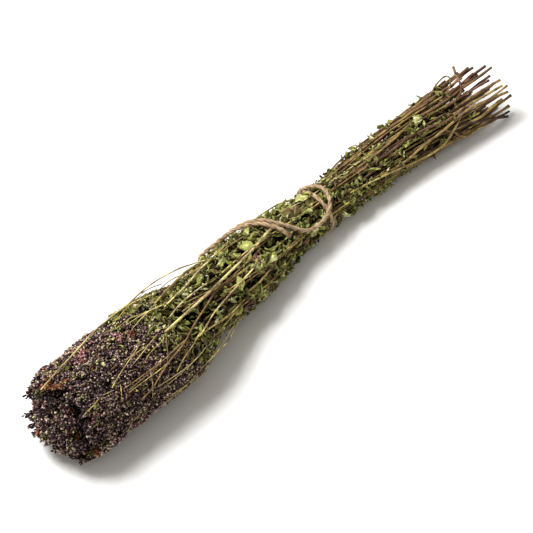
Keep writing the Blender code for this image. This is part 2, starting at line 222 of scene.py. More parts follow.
class Finish:
    def __init__(self, name):
        self.material = bpy.data.materials.new(name)
        self.material.use_nodes = True
        self.tree = self.material.node_tree
        self.shader = self.tree.nodes["Principled BSDF"]

    def node(self, kind, settings=None, inputs=None, output=0):
        made = self.tree.nodes.new(kind)
        for key, value in (settings or {}).items():
            if key == "stops":
                ramp = made.color_ramp
                while len(ramp.elements) < len(value):
                    ramp.elements.new(0.5)
                for element, (place, colour) in zip(ramp.elements, value):
                    element.position = place
                    element.color = (*colour, 1)
            else:
                setattr(made, key, value)
        for key, value in (inputs or {}).items():
            if isinstance(value, Value):
                self.tree.links.new(value.socket, made.inputs[key])
            else:
                made.inputs[key].default_value = value
        return Value(self.tree, made.outputs[output])

    def attribute(self, name):
        return self.node("ShaderNodeAttribute", {"attribute_name": name}, output="Fac")

    def place(self):
        return self.node("ShaderNodeTexCoord", output="Object")

    def stretched(self, along):  # texture space drawn out along the stems
        return self.node("ShaderNodeMapping", None, {"Vector": self.place(), "Scale": (along, 1.0, 1.0)})

    def noise(self, scale, detail=3.0, vector=None):
        inputs = {"Vector": vector or self.place(), "Scale": scale, "Detail": detail, "Roughness": 0.6}
        return self.node("ShaderNodeTexNoise", None, inputs)

    def ramp(self, factor, stops):
        return self.node("ShaderNodeValToRGB", {"stops": stops}, {"Fac": factor})

    def mix(self, factor, first, second, blend="MIX"):
        return self.node("ShaderNodeMix", {"data_type": "RGBA", "blend_type": blend, "clamp_factor": True},
                         {0: factor, 6: first, 7: second}, output=2)

    def darkened(self, colour, factor, stops):
        return self.mix(1.0, colour, self.ramp(factor, stops), "MULTIPLY")

    def paintedShade(self, colour, stops):  # painted shade: darker away from the bundle's surface, as if the inside lay in shadow
        return self.darkened(colour, self.attribute("depth"), stops)

    def finish(self, colour, roughness, bump, depth, strength=0.6):
        self.tree.links.new(colour.socket, self.shader.inputs["Base Color"])
        self.shader.inputs["Specular IOR Level"].default_value = 0.15
        self.shader.inputs["Roughness"].default_value = roughness
        inputs = {"Strength": strength, "Distance": depth, "Height": bump}
        normal = self.node("ShaderNodeBump", None, inputs)
        self.tree.links.new(normal.socket, self.shader.inputs["Normal"])
        return self.material


def makeLeafFinish():
    leaf = Finish("driedLeaf")
    tone = leaf.attribute("tone")
    across = leaf.attribute("across")
    along = leaf.attribute("along")
    green = leaf.ramp(tone, [(0.0, (0.075, 0.040, 0.020)), (0.10, (0.170, 0.098, 0.034)),
                             (0.20, (0.120, 0.116, 0.024)), (0.48, (0.285, 0.300, 0.056)),
                             (0.72, (0.450, 0.465, 0.140)), (0.90, (0.620, 0.625, 0.310)),
                             (1.0, (0.760, 0.720, 0.440))])
    mottle = leaf.noise(420, 4)
    colour = leaf.darkened(green, mottle, [(0.30, (0.36, 0.34, 0.32)), (0.52, (0.95, 0.95, 0.92)),
                                           (0.70, (1.75, 1.70, 1.45))])
    rib = leaf.node("ShaderNodeMath", {"operation": "ABSOLUTE"}, {0: across})
    ribMask = leaf.ramp(rib, [(0.0, grey(1)), (0.10, grey(0.7)), (0.20, grey(0))])
    veinWave = leaf.node("ShaderNodeMath", {"operation": "SINE"}, {0: (along * 44 - rib * 16)})
    veins = leaf.ramp(veinWave * 0.5 + 0.5, [(0.80, grey(0)), (0.95, grey(1))])
    colour = leaf.mix(ribMask * 0.45, colour, (0.42, 0.40, 0.20, 1))
    colour = leaf.mix(veins * 0.22, colour, (0.36, 0.36, 0.16, 1))
    margin = leaf.ramp(rib, [(0.72, grey(0)), (1.0, grey(1))])
    colour = leaf.mix(margin * 0.40, colour, leaf.mix(0.55, colour, (0.60, 0.60, 0.28, 1)))
    # painted shade: leaves deep in the bundle are darkened nearly to black, as if in shadow
    colour = leaf.paintedShade(colour, [(0.60, (0.07, 0.06, 0.05)), (0.86, (0.38, 0.36, 0.33)), (1.01, grey(1))])
    crinkle = leaf.noise(900, 3)
    height = crinkle * 0.7 + mottle * 0.6 + ribMask * 0.5 + veins * 0.4
    return leaf.finish(colour, roughness=0.80, bump=height, depth=0.00035, strength=0.7)


def makeStemFinish():
    stem = Finish("driedStem")
    tone = stem.attribute("tone")
    node = stem.attribute("along")
    bark = stem.ramp(tone, [(0.0, (0.060, 0.036, 0.030)), (0.20, (0.210, 0.110, 0.084)),
                            (0.42, (0.350, 0.225, 0.100)), (0.62, (0.520, 0.410, 0.140)),
                            (0.84, (0.780, 0.640, 0.290)), (1.0, (0.820, 0.720, 0.480))])
    grain = stem.noise(1900, 4, stem.stretched(0.10))
    patch = stem.noise(160, 3, stem.stretched(0.25))
    colour = stem.darkened(bark, grain, [(0.32, (0.32, 0.29, 0.27)), (0.52, grey(0.92)),
                                         (0.70, (1.75, 1.68, 1.40))])
    colour = stem.darkened(colour, patch, [(0.36, (0.50, 0.40, 0.40)), (0.52, grey(1)),
                                           (0.68, (1.20, 1.28, 0.90))])
    colour = stem.mix(node * 0.55, colour, (0.070, 0.038, 0.022, 1))
    # painted shade: stems deep in the bundle are darkened, as if in shadow
    colour = stem.paintedShade(colour, [(0.50, (0.13, 0.12, 0.12)), (0.84, (0.50, 0.48, 0.47)), (1.00, grey(1))])
    return stem.finish(colour, roughness=0.68, bump=grain * 0.8 + patch * 0.4, depth=0.00025)


def makeBudFinish():
    bud = Finish("driedBud")
    tone = bud.attribute("tone")
    tip = bud.attribute("along")
    body = bud.ramp(tone, [(0.0, (0.014, 0.009, 0.011)), (0.25, (0.036, 0.018, 0.026)),
                           (0.50, (0.080, 0.038, 0.046)), (0.64, (0.055, 0.056, 0.016)),
                           (0.80, (0.120, 0.125, 0.032)), (0.90, (0.150, 0.050, 0.022)),
                           (1.0, (0.200, 0.080, 0.100))])
    edge = bud.ramp(tone, [(0.0, (0.14, 0.090, 0.095)), (0.25, (0.42, 0.27, 0.28)),
                           (0.50, (0.86, 0.66, 0.54)), (0.64, (0.62, 0.58, 0.26)),
                           (0.80, (0.85, 0.80, 0.42)), (0.90, (0.60, 0.24, 0.10)),
                           (1.0, (0.74, 0.40, 0.42))])
    speck = bud.noise(700, 3)
    paleness = tip * 0.75 + bud.attribute("across") * 0.55 + speck * 0.5 - 0.40
    colour = bud.mix(bud.ramp(paleness, [(0.54, grey(0)), (0.93, grey(1))]), body, edge)
    colour = bud.darkened(colour, speck, [(0.35, (0.65, 0.62, 0.62)), (0.65, (1.2, 1.2, 1.15))])
    # painted shade: buds deep in the heads are darkened, as if in shadow
    colour = bud.paintedShade(colour, [(0.60, (0.15, 0.14, 0.14)), (0.88, (0.60, 0.58, 0.58)), (1.0, grey(1))])
    return bud.finish(colour, roughness=0.82, bump=speck, depth=0.00030)


def makeTwineFinish():
    jute = Finish("juteTwine")
    along = jute.attribute("along")
    across = jute.attribute("across")
    fibrePlace = jute.node("ShaderNodeCombineXYZ", None, {"X": along * 3.0, "Y": across * 1.1, "Z": 0.0})
    fibre = jute.noise(9.0, 4, fibrePlace)
    drift = jute.noise(220, 3)
    colour = jute.ramp(fibre, [(0.30, (0.135, 0.085, 0.040)), (0.45, (0.380, 0.260, 0.145)),
                               (0.58, (0.540, 0.410, 0.270)), (0.74, (0.770, 0.690, 0.550))])
    colour = jute.darkened(colour, drift, [(0.35, (0.80, 0.76, 0.72)), (0.65, (1.1, 1.1, 1.08))])
    return jute.finish(colour, roughness=0.88, bump=fibre, depth=0.00020, strength=0.8)


# Template shapes that are copied many times
def freshMesh():
    mesh = bmesh.new()
    layers = mesh.verts.layers.float
    for name in ("along", "across"):
        layers.new(name)
    return mesh, layers["along"], layers["across"]


def meshArrays(mesh):  # the points and triangles of a closed mesh, in the same order at every run
    bmesh.ops.recalc_face_normals(mesh, faces=mesh.faces)
    bmesh.ops.triangulate(mesh, faces=mesh.faces)
    mesh.verts.index_update()
    points = np.array([vertex.co for vertex in mesh.verts])
    corners = [[vertex.index for vertex in face.verts] for face in mesh.faces]
    return points, np.array(sorted(min(row, row[1:] + row[:1], row[2:] + row[:2]) for row in corners))


def asTemplate(mesh):
    points, corners = meshArrays(mesh)
    template = {"points": points, "corners": corners}
    for name in ("along", "across"):
        layer = mesh.verts.layers.float[name]
        template[name] = np.array([vertex[layer] for vertex in mesh.verts])
    mesh.free()
    return template


# Leaves are one unit long until they are placed; fold, bend and twist are in radians
leafShape = {"curled": 16, "broad": 4, "broadCurl": 0.42, "acrossFaces": 2, "alongFaces": 4,
             "thickness": 0.040, "fold": (0.5, 2.9), "bend": 3.2, "twist": 2.2, "ripple": (0.04, 0.11),
             "breadth": (0.40, 0.62)}


def makeLeafTemplate(seed, curl=1.0):  # a dried leaf, curled and crumpled
    draw = random.Random(500 + seed)
    mesh, along, across = freshMesh()
    bmesh.ops.create_grid(mesh, x_segments=leafShape["alongFaces"], y_segments=leafShape["acrossFaces"],
                          size=0.5)
    fold = draw.choice([-1, 1]) * draw.uniform(*leafShape["fold"]) * curl
    bend = draw.uniform(-leafShape["bend"], leafShape["bend"]) * curl
    twist = draw.uniform(-leafShape["twist"], leafShape["twist"]) * curl
    ripple, ripplePhase = draw.uniform(*leafShape["ripple"]), draw.uniform(0, tau)
    breadth = draw.uniform(*leafShape["breadth"]) * (1.6 - 0.6 * curl)
    for vertex in mesh.verts:
        share = vertex.co.x + 0.5
        side = vertex.co.y * 2
        vertex[along] = share
        vertex[across] = side
        half = breadth * 0.5 * (sin(pi * min(1.0, share ** 0.72)) ** 0.7 * 0.93 + 0.07)
        turn = fold * side * (0.5 + 0.5 * sin(pi * share))
        flatY = half / abs(fold) * sin(turn)
        crumple = ripple * sin(7 * share + 2.5 * side + ripplePhase) * (0.4 + abs(side))
        flatZ = half / fold * (1 - cos(turn)) + crumple
        angle = bend * share
        spineX = sin(angle) / bend
        spineZ = (1 - cos(angle)) / bend
        roll = twist * share
        y = flatY * cos(roll) - flatZ * sin(roll)
        z = flatY * sin(roll) + flatZ * cos(roll)
        vertex.co = (spineX - z * sin(angle), y, spineZ + z * cos(angle))
    bmesh.ops.solidify(mesh, geom=mesh.faces[:], thickness=leafShape["thickness"])
    return asTemplate(mesh)


spikeletShape = {"kinds": 5, "tiers": (3, 2, 2), "length": 0.0031, "bractLength": 0.0020,
                 "bractWidth": 0.00086, "bractThickness": 0.00066, "bractOut": 0.00022}


def makeSpikeletTemplate(seed):  # a bud cluster: plump bracts in tiers round a short axis along +Z
    draw = random.Random(900 + seed)
    mesh, along, across = freshMesh()
    size = spikeletShape
    for tier, ranks in enumerate((*size["tiers"], 1)):
        for rank in range(ranks):
            turn = tau * (rank + 0.5 * (tier % 2)) / ranks + draw.uniform(-0.3, 0.3)
            lean = draw.uniform(0.45, 1.0) if ranks > 1 else draw.uniform(0.0, 0.2)
            length = size["bractLength"] * draw.uniform(0.8, 1.2)
            scale = Matrix.Diagonal((size["bractWidth"] * draw.uniform(0.85, 1.2),
                                     size["bractThickness"] * draw.uniform(0.85, 1.2), length * 0.5, 1))
            place = (Matrix.Translation((0, 0, size["length"] * tier / 4))
                     @ Matrix.Rotation(turn, 4, "Z") @ Matrix.Rotation(-lean, 4, "X")
                     @ Matrix.Translation((0, size["bractOut"], length * 0.45)) @ scale)
            made = bmesh.ops.create_uvsphere(mesh, u_segments=3, v_segments=2, radius=1.0, matrix=place)
            inward = place.inverted()
            paleness = draw.random()
            for vertex in made["verts"]:
                vertex[along] = min(1.0, max(0.0, (inward @ vertex.co).z * 0.5 + 0.5))
                vertex[across] = paleness
    return asTemplate(mesh)


tubeTemplates = {}


def tubeTemplate(sides, steps):  # a straight cylinder cut into rings, to be bent along a path
    if (sides, steps) in tubeTemplates:
        return tubeTemplates[sides, steps]
    mesh = bmesh.new()
    bmesh.ops.create_circle(mesh, segments=sides, radius=1.0, cap_ends=True)
    end = mesh.faces[:]
    for step in range(steps - 1):
        grown = bmesh.ops.extrude_face_region(mesh, geom=end)["geom"]
        if step > 0:  # the first face stays as the cap
            bmesh.ops.delete(mesh, geom=end, context="FACES_KEEP_BOUNDARY")
        end = [item for item in grown if isinstance(item, bmesh.types.BMFace)]
        bmesh.ops.translate(mesh, verts=end[0].verts, vec=(0, 0, 1))
    points, corners = meshArrays(mesh)
    tubeTemplates[sides, steps] = {
        "unit": points[:, :2],
        "step": np.rint(points[:, 2]).astype(int),
        "turn": np.arctan2(points[:, 1], points[:, 0]) / tau + 0.5,
        "corners": corners,
    }
    mesh.free()
    return tubeTemplates[sides, steps]


# How far copied shapes may stand out past the bundle's outline, in metres
room = {"headsEnd": 0.125, "leavesFrom": 0.04, "leaves": 0.0042, "bump": 0.0014, "corner": 0.0012,
        "front": -0.2035, "aboveFloor": 0.0002, "lowest": 0.00005}

# Places where the outline steps in: station, reach along, degrees, reach round, depth
notches = [(0.122, 0.013, -150, 40, 0.0046), (0.188, 0.030, -150, 44, 0.0024),
           (0.116, 0.022, 36, 24, 0.0030), (0.000, 0.011, -150, 60, 0.0036)]


def notchDepth(station, angle):
    depth = 0.0
    for place, reachAlong, degrees, reachRound, deep in notches:
        turn = wrapped(angle - radians(degrees))
        depth += deep * np.exp(-((station - place) / reachAlong) ** 2 - (turn / radians(reachRound)) ** 2)
    return depth


def headBump(station, angle):  # the clusters stand out unevenly
    waves = sin(230 * station + 4 * angle) + sin(370 * station - 7 * angle + 1.3)
    return room["bump"] * (waves + sin(11 * angle + 160 * station)) / 3


def lowerCorner(angle):  # the heads are fuller low on the near side
    turn = wrapped(angle + radians(140))
    return room["corner"] * np.exp(-(turn / radians(32)) ** 2)


def inSection(points):  # stations, and places across the bundle from its axis
    station = points[:, 0] + bundle["length"] / 2
    height = (points[:, 2] - axisHeight(station)) / bundle["heightRatio"]
    return station, points[:, 1] - axisSide(station), height


def pulledInside(points):  # moves a copied shape as a whole until it stays in the bundle's outline
    centre = points.mean(axis=0)
    station = centre[0] + bundle["length"] / 2
    outward = np.array((0.0, centre[1] - axisSide(station), centre[2] - axisHeight(station)))
    angle = atan2(outward[2], outward[1])
    proud = room["leaves"] * smoothStep((station - room["headsEnd"]) / room["leavesFrom"])
    if station < room["headsEnd"]:
        proud += lowerCorner(angle) + headBump(station, angle)
    proud -= notchDepth(station, angle)
    side = points[:, 1] - axisSide(station)
    height = (points[:, 2] - axisHeight(station)) / bundle["heightRatio"]
    radius = np.hypot(side, height)
    below = np.maximum(0, -height / np.maximum(radius, 1e-6)) / bundle["underside"]
    spare = (bundleRadius(station) * flattened(below) + proud - radius).min()
    if spare < 0:
        points = points + outward / (np.linalg.norm(outward) + 1e-9) * spare
    lift = max(0.0, room["aboveFloor"] - points[:, 2].min())
    forward = max(0.0, room["front"] - points[:, 0].min())
    return points + np.array((forward, 0.0, lift))


# Where each finish stands in a piece's list: the twine has one finish, the plants have three
asTwine, asStem, asLeaf, asBud = 0, 0, 1, 2


class Heap:  # copies of templates and tubes gathered into one piece with several finishes
    def __init__(self):
        self.parts = []
        self.count = 0

    def addTemplate(self, template, matrix, tone, finish):
        turn = np.array(matrix.to_3x3())
        points = pulledInside(template["points"] @ turn.T + np.array(matrix.translation))
        self.add(points, template["corners"], np.full(len(points), tone), template["along"],
                 template["across"], finish)

    def add(self, points, corners, tone, along, across, finish):
        finishes = np.full(len(corners), finish)
        self.parts.append((points, corners + self.count, tone, along, across, finishes))
        self.count += len(points)

    def addTube(self, path, radii, tone, finish, sides, nodes=(), ridge=0.0, along=None):
        template = tubeTemplate(sides, len(path))
        points = np.array([tuple(point) for point in path])
        ahead = np.gradient(points, axis=0)
        ahead /= np.linalg.norm(ahead, axis=1, keepdims=True) + 1e-12
        first = np.cross((0.0, 0.0, 1.0) if abs(ahead[0][2]) < 0.9 else (0.0, 1.0, 0.0), ahead[0])
        firsts = []
        for direction in ahead:
            first = first - direction * (first @ direction)
            first = first / np.linalg.norm(first)
            firsts.append(first)
        firsts = np.array(firsts)
        seconds = np.cross(ahead, firsts)
        step, unit = template["step"], template["unit"]
        size = np.array(radii)[step] * (1 + ridge * np.cos(4 * np.arctan2(unit[:, 1], unit[:, 0])))
        tube = (points[step] + firsts[step] * (unit[:, :1] * size[:, None])
                + seconds[step] * (unit[:, 1:] * size[:, None]))
        mark = np.zeros(len(path))
        for node in nodes:
            mark[max(0, node - 1):node + 2] = 1.0
        length = mark[step] if along is None else np.array(along)[step]
        self.add(tube, template["corners"], np.full(len(tube), tone), length, template["turn"], finish)

    def build(self, name, finishes):
        points, corners, tone, along, across, finish = (np.concatenate(group) for group in zip(*self.parts))
        points[:, 2] = np.maximum(points[:, 2], room["lowest"])
        station, side, height = inSection(points)
        # painted shade: depth is each point's share of the bundle's radius, with the flower end and the cut
        # end counted as at the surface; the finishes darken low values as shadow
        depth = np.maximum(np.hypot(side, height) / bundleRadius(station),
                           np.maximum(1.04 - station / 0.060, (station - 0.290) / 0.085))
        data = bpy.data.meshes.new(name)
        data.vertices.add(len(points))
        data.vertices.foreach_set("co", points.astype(np.float32).ravel())
        data.loops.add(corners.size)
        data.loops.foreach_set("vertex_index", corners.astype(np.int32).ravel())
        data.polygons.add(len(corners))
        data.polygons.foreach_set("loop_start", np.arange(0, corners.size, 3, dtype=np.int32))
        data.polygons.foreach_set("material_index", finish.astype(np.int32))
        for key, values in {"tone": tone, "along": along, "across": across, "depth": depth}.items():
            layer = data.attributes.new(key, "FLOAT", "POINT")
            layer.data.foreach_set("value", values.astype(np.float32))
        data.update(calc_edges=True)
        data.validate()
        for material in finishes:
            data.materials.append(material)
        data.polygons.foreach_set("use_smooth", np.ones(len(corners), dtype=bool))
        piece = bpy.data.objects.new(name, data)
        bpy.context.scene.collection.objects.link(piece)
        return piece


def facing(direction, up, spin=0.0):  # a turn that points +X along a direction with +Z towards up
    direction = direction.normalized()
    side = up.cross(direction)
    if side.length < 1e-6:
        side = direction.orthogonal()
    side.normalize()
    top = direction.cross(side)
    base = Matrix((direction, side, top)).transposed()
    return (base @ Matrix.Rotation(spin, 3, "X")).to_4x4()


# Twine
twine = {"diameter": 0.0027, "radius": 0.00135, "points": 58, "finePoints": 420, "plies": 2,
         "plyRadius": 0.00084, "plyOffset": 0.00052, "pitch": 0.0105, "tieReach": 0.99, "knotAngle": 38,
         "knotRise": 0.0004, "knotRadius": 0.0013, "knotSpacing": 0.0011, "fibres": 2100,
         "fibreLift": (0.0001, 0.0009), "fibreReach": (0.002, 0.006),
         "fibreRadii": (0.00007, 0.00007, 0.00006, 0.00004), "frayFibres": 60, "frayStart": 0.004,
         "frayReach": (0.0046, 0.0066), "fraySpread": 0.0011, "frayRadii": (0.00017, 0.00014, 0.00007)}

# The loose end's route, as in the part, and its start at the knot: station, degrees, height on the bundle
looseRoute = [
    (0.2416, 50, 0.0032), (0.2438, 63, 0.0034), (0.2452, 79, 0.0035), (0.2454, 95, 0.0037),
    (0.2438, 111, 0.0042), (0.2406, 126, 0.0048), (0.236, 138, 0.0047), (0.2296, 145.5, 0.004),
    (0.222, 145, 0.0035), (0.2148, 136, 0.0034), (0.2084, 116, 0.0034), (0.2024, 94, 0.0034),
    (0.1982, 72, 0.0034), (0.1938, 52, 0.0035), (0.1878, 37, 0.0036), (0.1812, 23, 0.0036),
    (0.1752, 10, 0.0037), (0.1696, 2, 0.0038), (0.163, -1, 0.0038), (0.1576, 4, 0.0038),
    (0.1554, 17, 0.0038), (0.1576, 30, 0.0037), (0.164, 36.5, 0.0036), (0.1712, 40, 0.0036),
    (0.1786, 44, 0.0036), (0.1852, 51, 0.0035), (0.1904, 62, 0.0034), (0.1942, 75, 0.0034),
    (0.1974, 91, 0.0034), (0.2002, 106, 0.0034), (0.2024, 121, 0.0034),
]
knotRoute = [(0.2388, 35, 0.0010), (0.2391, 40, 0.0026), (0.2402, 45.5, 0.0033)]


def onBundle(station, degrees, lift):
    return inBundle(station, 1 + lift / bundleRadius(station), radians(degrees))


def smoothRoute(points, count):
    ends = [2 * points[0] - points[1], *points, 2 * points[-1] - points[-2]]
    fine = []
    for before, start, end, after in zip(ends, ends[1:], ends[2:], ends[3:]):
        for step in range(12):
            share = step / 12
            fine.append(0.5 * (2 * start + (end - before) * share
                               + (2 * before - 5 * start + 4 * end - after) * share ** 2
                               + (3 * start - before - 3 * end + after) * share ** 3))
    fine.append(points[-1])
    return evenly(fine, count)


def evenly(fine, count):
    travelled = [0.0]
    for start, end in zip(fine, fine[1:]):
        travelled.append(travelled[-1] + (end - start).length)
    even = []
    part = 0
    for number in range(count):
        target = travelled[-1] * number / (count - 1)
        while part < len(fine) - 2 and travelled[part + 1] < target:
            part += 1
        share = (target - travelled[part]) / max(1e-9, travelled[part + 1] - travelled[part])
        even.append(fine[part].lerp(fine[part + 1], share))
    return even


def crossFrames(path):
    frames = []
    side = None
    for number in range(len(path)):
        ahead = (path[min(number + 1, len(path) - 1)] - path[max(number - 1, 0)]).normalized()
        if side is None:
            side = ahead.orthogonal().normalized()
        side = (side - ahead * side.dot(ahead)).normalized()
        frames.append((ahead, side, ahead.cross(side)))
    return frames


def addTwistedTwine(heap, path, seed, frayed=False):
    draw = random.Random(seed)
    frames = crossFrames(path)
    step = (path[1] - path[0]).length
    for ply in range(twine["plies"]):
        route, radii = [], []
        for number, (point, (ahead, side, up)) in enumerate(zip(path, frames)):
            turn = tau * (number * step / twine["pitch"] + ply / twine["plies"])
            wobble = 1 + 0.10 * sin(number * 0.37 + ply * 2.1 + seed)
            route.append(point + (side * cos(turn) + up * sin(turn)) * twine["plyOffset"] * wobble)
            radii.append(twine["plyRadius"] * (1 + 0.07 * sin(number * 0.23 + ply)))
        heap.addTube(route, radii, draw.uniform(0.4, 0.6), asTwine, sides=10,
                     along=[number * step * 10 for number in range(len(route))])
    length = step * len(path)
    for _ in range(int(twine["fibres"] * length)):
        start = draw.randrange(2, len(path) - 12)
        ahead, side, up = frames[start]
        turn = draw.uniform(0, tau)
        out = side * cos(turn) + up * sin(turn)
        lift = draw.uniform(*twine["fibreLift"])
        reach = draw.uniform(*twine["fibreReach"]) * draw.choice([-1, 1])
        base = path[start] + out * twine["radius"] * 0.75
        hair = [base, base + ahead * reach * 0.4 + out * lift * 0.8,
                base + ahead * reach * 0.75 + out * lift,
                base + ahead * reach + out * (lift * draw.uniform(0.2, 1.6))]
        heap.addTube(hair, twine["fibreRadii"], draw.random(), asTwine, sides=3)
    if frayed:
        ahead, side, up = frames[-1]
        for _ in range(twine["frayFibres"]):
            turn, away = draw.uniform(0, tau), draw.uniform(0.0, 0.95) * twine["radius"]
            out = side * cos(turn) + up * sin(turn)
            base = path[-1] - ahead * twine["frayStart"] + out * away
            reach = draw.uniform(*twine["frayReach"])
            spread = out * draw.uniform(0.0, twine["fraySpread"])
            hair = [base, base + ahead * reach * 0.5 + spread * 0.3, base + ahead * reach + spread]
            heap.addTube(hair, twine["frayRadii"], draw.random(), asTwine, sides=4)


def makeLooseEnd(finish):
    places = [onBundle(*spot) for spot in looseRoute]
    route = smoothRoute(places, twine["points"])
    fine = smoothRoute(places, twine["finePoints"])
    heap = Heap()
    addTwistedTwine(heap, fine, 3, frayed=True)
    loose = heap.build("looseTwine", [finish])
    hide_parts("twine_loose_end")
    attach(loose, "root")
    length = sum((end - start).length for start, end in zip(route, route[1:]))


def makeTie(finish):
    heap = Heap()
    tie = bundle["tieStation"]
    count = 240
    inside = [inBundle(tie, twine["tieReach"], tau * number / count) for number in range(count + 1)]
    ring = []
    for number, point in enumerate(inside):
        ahead = inside[(number + 1) % count] - inside[(number - 1) % count]
        ring.append(point + ahead.cross(Vector((1, 0, 0))).normalized() * twine["radius"])
    addTwistedTwine(heap, ring, 8)
    seat = inBundle(tie, twine["tieReach"], radians(twine["knotAngle"]))
    centre = Vector((seat.x, axisSide(tie), axisHeight(tie)))
    out = (seat - centre).normalized()
    seat += out * (twine["radius"] + twine["knotRise"])
    tangent = Vector((1, 0, 0)).cross(out)
    for number, shift in enumerate((-twine["knotSpacing"], twine["knotSpacing"])):
        hitch = []
        for step in range(41):
            turn = tau * step / 40
            around = Vector((1, 0, 0)) * cos(turn) + out * sin(turn)
            hitch.append(seat + tangent * (shift + 0.0004 * sin(turn)) + around * twine["knotRadius"])
        addTwistedTwine(heap, hitch, 20 + number)
    link = [onBundle(*spot) for spot in knotRoute]
    link.append(onBundle(*looseRoute[0]).lerp(link[-1], 0.06))
    addTwistedTwine(heap, smoothRoute(link, 24), 31)
    tiePiece = heap.build("twineTie", [finish])
    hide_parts("twine_tie")
    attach(tiePiece, "root")


# Leafy stems
leafySprig = {"leaves": 262, "innerLeaves": 104, "leafLength": (0.0030, 0.0088),
              "bigLeaf": (0.0085, 0.0125), "bigShare": 0.12, "lastLeaf": 0.366, "leafLean": 0.75,
              "slimness": 0.73, "pathStep": 0.0031, "nodeStep": 0.0155, "kink": 0.00085, "kinks": 64,
              "nodeSwell": 1.25, "companions": 3, "companionRadius": (0.00060, 0.00085), "branches": 3,
              "branchStart": (0.170, 0.330), "branchLength": (0.05, 0.11), "tufts": 4,
              "tuftLeaf": (0.0030, 0.0060), "tieGap": 0.0075}
stemTones = {"companion": [0.08, 0.18, 0.26, 0.34, 0.42, 0.50, 0.62],
             "branch": [0.20, 0.35, 0.50, 0.62, 0.80, 0.92]}

